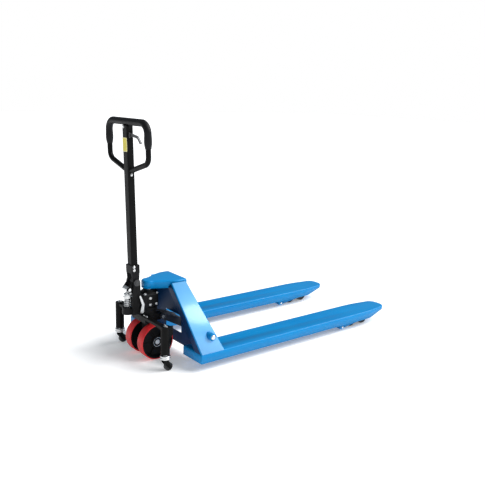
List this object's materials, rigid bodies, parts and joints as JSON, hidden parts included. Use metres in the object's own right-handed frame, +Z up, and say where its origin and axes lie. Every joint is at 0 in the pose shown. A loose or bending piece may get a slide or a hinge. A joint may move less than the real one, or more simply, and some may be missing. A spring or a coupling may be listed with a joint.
{
  "type": "hand pallet truck",
  "caption": "Low-lift hand pallet truck with two forks, hydraulic pump unit, twin red steering wheels, sprung stabiliser castors and a loop handle.",
  "frame": {"origin": "centre of the bounding box at floor level", "axes": "+X is the truck's right side, +Y points to the fork tips, +Z is up"},
  "size_m": [0.685, 1.589, 1.1796],
  "materials": {
    "blue_paint": "glossy blue enamel",
    "black_casting": "satin black paint over a sand casting",
    "black_paint": "satin black powder coat",
    "zinc": "bright zinc plate",
    "chrome": "hard chrome",
    "red_tread": "red polyurethane, semi-gloss",
    "wheel_black": "black nylon core",
    "roller_black": "black polyurethane",
    "grip_rubber": "satin black moulded rubber",
    "lever_plastic": "dark grey moulded lever",
    "label_yellow": "plain yellow label"
  },
  "bodies": {
    "base": {"carrier": "black_casting", "thrust_bearing": "zinc", "link_pin": "zinc", "stabiliser_beam": "black_casting", "beam_bolts": "zinc", "post_spring_left": "zinc", "post_spring_right": "zinc"},
    "lifting_frame": {"chassis": "blue_paint", "fork_left": "blue_paint", "fork_right": "blue_paint", "piston_seat": "zinc", "rocker_pivots": "zinc", "fork_lug_pins": "zinc"},
    "rocker": {"rocker": "black_paint", "rocker_pins": "zinc"},
    "push_rod_left": {"push_rod_left": "black_paint"},
    "push_rod_right": {"push_rod_right": "black_paint"},
    "load_lever_left": {"load_lever_left": "blue_paint", "lever_pins_left": "zinc"},
    "load_lever_right": {"load_lever_right": "blue_paint", "lever_pins_right": "zinc"},
    "bogie_left": {"bogie_left": "black_paint", "roller_axles_left": "zinc"},
    "bogie_right": {"bogie_right": "black_paint", "roller_axles_right": "zinc"},
    "roller_left_rear": {"roller_left_rear": "roller_black"},
    "roller_left_front": {"roller_left_front": "roller_black"},
    "roller_right_rear": {"roller_right_rear": "roller_black"},
    "roller_right_front": {"roller_right_front": "roller_black"},
    "pump_unit": {"pump_body": "black_casting", "reservoir": "black_casting", "steer_axle": "zinc", "handle_bracket": "black_casting", "pump_screws": "zinc", "handle_pin": "zinc"},
    "lift_piston": {"lift_piston": "chrome"},
    "steer_wheel_left": {"wheel_core_left": "wheel_black", "wheel_tread_left": "red_tread", "wheel_bearings_left": "zinc"},
    "steer_wheel_right": {"wheel_core_right": "wheel_black", "wheel_tread_right": "red_tread", "wheel_bearings_right": "zinc"},
    "handle": {"handle_base": "black_casting", "handle_shaft": "black_paint", "handle_loop": "black_paint", "handle_grip": "grip_rubber", "label_plate": "label_yellow", "handle_screws": "zinc"},
    "press_roller": {"press_roller": "zinc"},
    "control_lever": {"control_lever": "lever_plastic"},
    "pump_plunger": {"pump_plunger": "chrome", "spring_cap": "zinc", "pump_spring": "zinc"},
    "release_lever": {"release_lever": "zinc"},
    "castor_stem_left": {"castor_stem_left": "zinc"},
    "castor_stem_right": {"castor_stem_right": "zinc"},
    "castor_fork_left": {"castor_fork_left": "black_paint"},
    "castor_fork_right": {"castor_fork_right": "black_paint"},
    "castor_wheel_left": {"castor_wheel_left": "roller_black"},
    "castor_wheel_right": {"castor_wheel_right": "roller_black"}
  },
  "joints": [
    {"name": "lift", "type": "slide", "parent": "base", "child": "lifting_frame", "axis": [0, 0, 1], "range_m": [0, 0.115]},
    {"name": "rocker_turn", "type": "hinge", "parent": "lifting_frame", "child": "rocker", "pos_m": [0, -0.4795, 0.152], "axis": [1, 0, 0], "range_deg": [0, 50.11]},
    {"name": "push_rod_left_pin", "type": "hinge", "parent": "rocker", "child": "push_rod_left", "pos_m": [-0.2625, -0.49918, 0.10991], "axis": [1, 0, 0], "range_deg": [-50.11, 0]},
    {"name": "load_lever_left_swing", "type": "hinge", "parent": "lifting_frame", "child": "load_lever_left", "pos_m": [-0.2625, 0.4275, 0.02], "axis": [1, 0, 0], "range_deg": [-46.35, 0]},
    {"name": "bogie_left_rock", "type": "hinge", "parent": "load_lever_left", "child": "bogie_left", "pos_m": [-0.2625, 0.57831, 0.039], "axis": [1, 0, 0], "range_deg": [0, 46.35]},
    {"name": "roller_left_rear_spin", "type": "hinge", "parent": "bogie_left", "child": "roller_left_rear", "pos_m": [-0.2625, 0.52931, 0.039], "axis": [1, 0, 0], "continuous": true},
    {"name": "roller_left_front_spin", "type": "hinge", "parent": "bogie_left", "child": "roller_left_front", "pos_m": [-0.2625, 0.62731, 0.039], "axis": [1, 0, 0], "continuous": true},
    {"name": "push_rod_right_pin", "type": "hinge", "parent": "rocker", "child": "push_rod_right", "pos_m": [0.2625, -0.49918, 0.10991], "axis": [1, 0, 0], "range_deg": [-50.11, 0]},
    {"name": "load_lever_right_swing", "type": "hinge", "parent": "lifting_frame", "child": "load_lever_right", "pos_m": [0.2625, 0.4275, 0.02], "axis": [1, 0, 0], "range_deg": [-46.35, 0]},
    {"name": "bogie_right_rock", "type": "hinge", "parent": "load_lever_right", "child": "bogie_right", "pos_m": [0.2625, 0.57831, 0.039], "axis": [1, 0, 0], "range_deg": [0, 46.35]},
    {"name": "roller_right_rear_spin", "type": "hinge", "parent": "bogie_right", "child": "roller_right_rear", "pos_m": [0.2625, 0.52931, 0.039], "axis": [1, 0, 0], "continuous": true},
    {"name": "roller_right_front_spin", "type": "hinge", "parent": "bogie_right", "child": "roller_right_front", "pos_m": [0.2625, 0.62731, 0.039], "axis": [1, 0, 0], "continuous": true},
    {"name": "steer", "type": "hinge", "parent": "base", "child": "pump_unit", "pos_m": [0, -0.6475, 0], "axis": [0, 0, 1], "range_deg": [-90, 90]},
    {"name": "piston_stroke", "type": "slide", "parent": "pump_unit", "child": "lift_piston", "axis": [0, 0, 1], "range_m": [0, 0.115]},
    {"name": "steer_wheel_left_spin", "type": "hinge", "parent": "pump_unit", "child": "steer_wheel_left", "pos_m": [-0.058, -0.6475, 0.09], "axis": [1, 0, 0], "continuous": true},
    {"name": "steer_wheel_right_spin", "type": "hinge", "parent": "pump_unit", "child": "steer_wheel_right", "pos_m": [0.058, -0.6475, 0.09], "axis": [1, 0, 0], "continuous": true},
    {"name": "handle_tilt", "type": "hinge", "parent": "pump_unit", "child": "handle", "pos_m": [0, -0.7365, 0.397], "axis": [1, 0, 0], "range_deg": [0, 60], "stiffness_Nm_per_rad": 30, "springref_deg": -17.19},
    {"name": "press_roller_spin", "type": "hinge", "parent": "handle", "child": "press_roller", "pos_m": [0, -0.77142, 0.36382], "axis": [1, 0, 0], "continuous": true},
    {"name": "control_lever_squeeze", "type": "hinge", "parent": "handle", "child": "control_lever", "pos_m": [0.025, -0.75991, 1.10261], "axis": [0, 0.9995, 0.0332], "range_deg": [-14, 10], "stiffness_Nm_per_rad": 3},
    {"name": "pump_stroke", "type": "slide", "parent": "pump_unit", "child": "pump_plunger", "axis": [0, 0, -1], "range_m": [0, 0.026], "deforming": ["pump_spring"]},
    {"name": "release_lever_turn", "type": "hinge", "parent": "pump_unit", "child": "release_lever", "pos_m": [0.0485, -0.7165, 0.252], "axis": [1, 0, 0], "range_deg": [-8.5, 12]},
    {"name": "castor_left_spring", "type": "slide", "parent": "base", "child": "castor_stem_left", "axis": [0, 0, 1], "range_m": [0, 0.006], "stiffness_N_per_m": 12000, "springref_m": -0.008, "deforming": ["post_spring_left"]},
    {"name": "castor_left_swivel", "type": "hinge", "parent": "castor_stem_left", "child": "castor_fork_left", "pos_m": [-0.224, -0.6925, 0.05], "axis": [0, 0, 1], "continuous": true},
    {"name": "castor_left_spin", "type": "hinge", "parent": "castor_fork_left", "child": "castor_wheel_left", "pos_m": [-0.224, -0.6765, 0.021], "axis": [1, 0, 0], "continuous": true},
    {"name": "castor_right_spring", "type": "slide", "parent": "base", "child": "castor_stem_right", "axis": [0, 0, 1], "range_m": [0, 0.006], "stiffness_N_per_m": 12000, "springref_m": -0.008, "deforming": ["post_spring_right"]},
    {"name": "castor_right_swivel", "type": "hinge", "parent": "castor_stem_right", "child": "castor_fork_right", "pos_m": [0.224, -0.6925, 0.05], "axis": [0, 0, 1], "continuous": true},
    {"name": "castor_right_spin", "type": "hinge", "parent": "castor_fork_right", "child": "castor_wheel_right", "pos_m": [0.224, -0.6765, 0.021], "axis": [1, 0, 0], "continuous": true}
  ],
  "couplings": [
    {"joint": "rocker_turn", "follows": "lift", "rad_per_m": 7.6051},
    {"joint": "push_rod_left_pin", "follows": "lift", "rad_per_m": -7.6051},
    {"joint": "load_lever_left_swing", "follows": "lift", "rad_per_m": -7.034},
    {"joint": "bogie_left_rock", "follows": "lift", "rad_per_m": 7.034},
    {"joint": "push_rod_right_pin", "follows": "lift", "rad_per_m": -7.6051},
    {"joint": "load_lever_right_swing", "follows": "lift", "rad_per_m": -7.034},
    {"joint": "bogie_right_rock", "follows": "lift", "rad_per_m": 7.034},
    {"joint": "piston_stroke", "follows": "lift", "ratio": 1},
    {"joint": "pump_stroke", "follows": "handle_tilt", "m_per_rad": 0.02483},
    {"joint": "release_lever_turn", "follows": "control_lever_squeeze", "ratio": -0.8}
  ]
}
